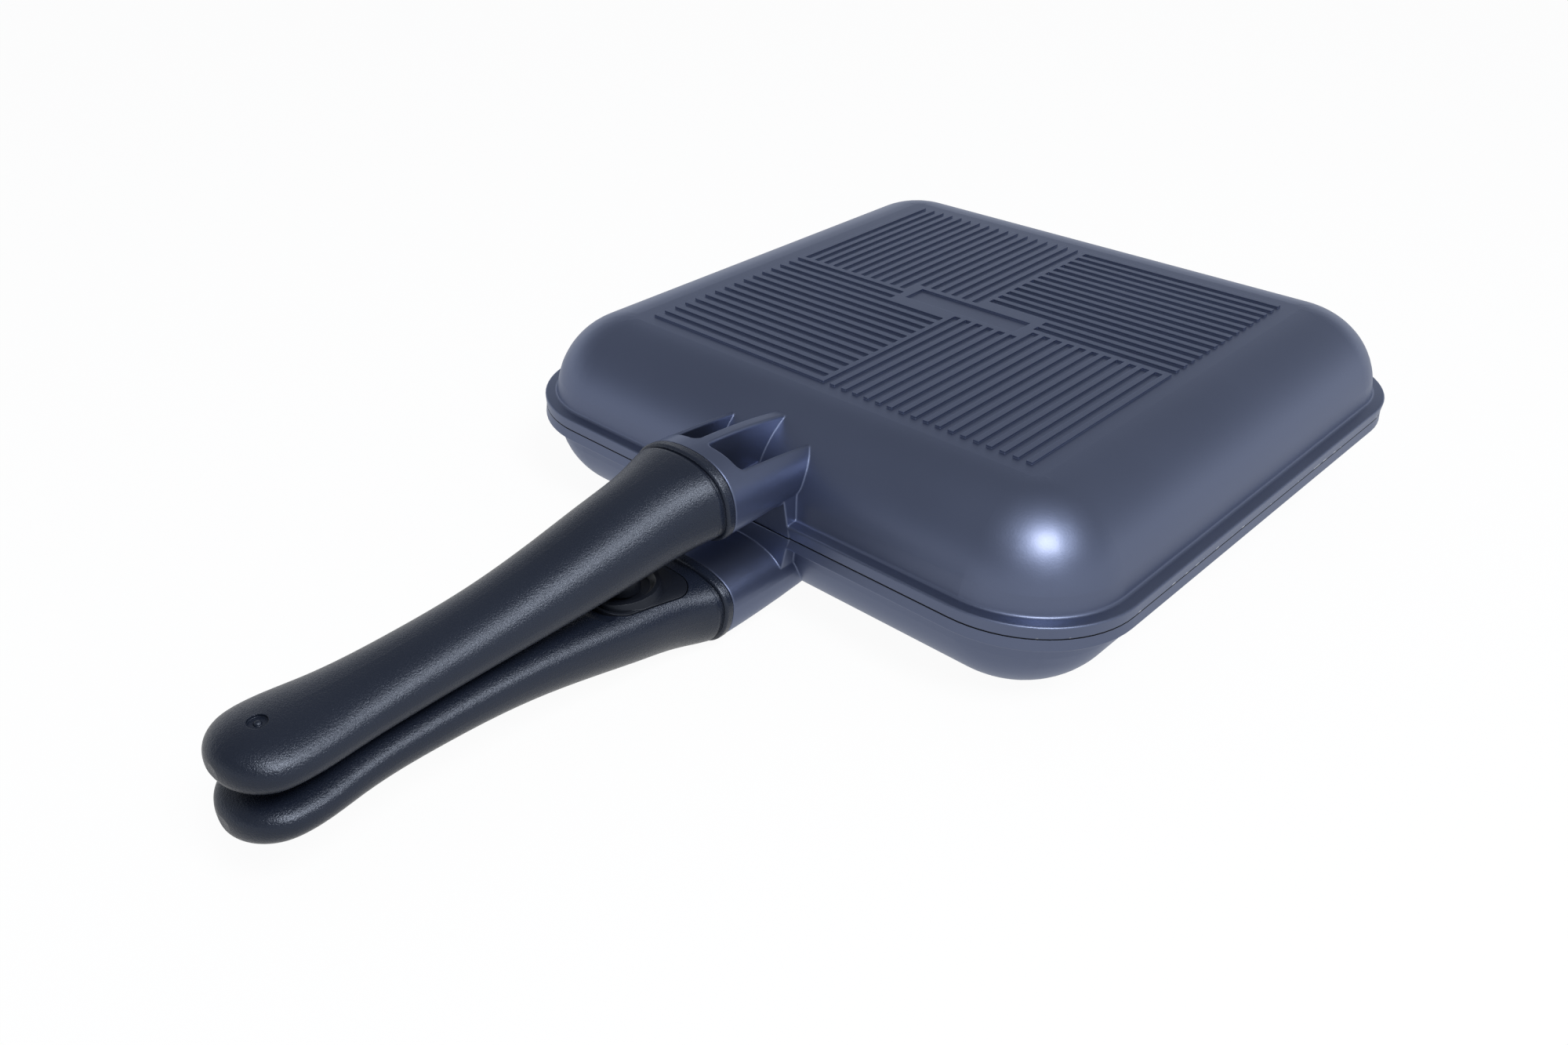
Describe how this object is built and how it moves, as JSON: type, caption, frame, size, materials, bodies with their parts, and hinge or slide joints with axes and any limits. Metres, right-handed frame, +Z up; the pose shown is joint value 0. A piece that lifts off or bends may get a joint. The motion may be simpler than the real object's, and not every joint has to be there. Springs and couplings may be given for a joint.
{
  "type": "double sided flip pan",
  "caption": "Square double sided flip pan: two ribbed cast pan halves hinged at the back and closed face to face, each with a long moulded handle held together by a magnet.",
  "frame": {"origin": "centre of the lower pan's square base, in the plane of its rib tops, where the closed pan stands on the hob", "axes": "+X across the pan to its right as seen from the handles, +Y from the handles towards the hinges, +Z up from the lower pan to the upper one; the seam lies at Z = 37.7 mm"},
  "size_m": [0.2664, 0.4945, 0.0754],
  "materials": {
    "coated_aluminium": "satin slate blue-grey non-stick coating, finely grained",
    "grip_phenolic": "near-black finely grained phenolic moulding",
    "insert_plastic": "dark grey moulded plastic, slightly smoother than the grips",
    "seal_silicone": "grey food-grade silicone, satin",
    "gasket_fibre": "black heat-resisting fibre gasket",
    "steel": "stainless steel, drawn and barrel polished",
    "magnet_nickel": "nickel-plated magnet"
  },
  "bodies": {
    "lower_half": {"lower_pan": "coated_aluminium", "lower_handle": "grip_phenolic", "lower_joint_gasket": "gasket_fibre", "lower_magnet_holder": "insert_plastic", "lower_magnet": "magnet_nickel", "lower_magnet_keeper": "steel", "lower_handle_screw": "steel", "lower_spring_washer": "steel", "rim_seal": "seal_silicone", "hinge_pin_left": "steel", "hinge_pin_right": "steel", "hinge_clip_left": "steel", "hinge_clip_right": "steel", "hinge_washers_left": "steel", "hinge_washers_right": "steel"},
    "upper_half": {"upper_pan": "coated_aluminium", "upper_handle": "grip_phenolic", "upper_joint_gasket": "gasket_fibre", "upper_magnet_holder": "insert_plastic", "upper_magnet": "magnet_nickel", "upper_magnet_keeper": "steel", "upper_handle_screw": "steel", "upper_spring_washer": "steel"}
  },
  "joints": [
    {"name": "pan_hinge", "type": "hinge", "parent": "lower_half", "child": "upper_half", "pos_m": [0, 0.1437, 0.0377], "axis": [-1, 0, 0], "range_deg": [0, 180]}
  ]
}
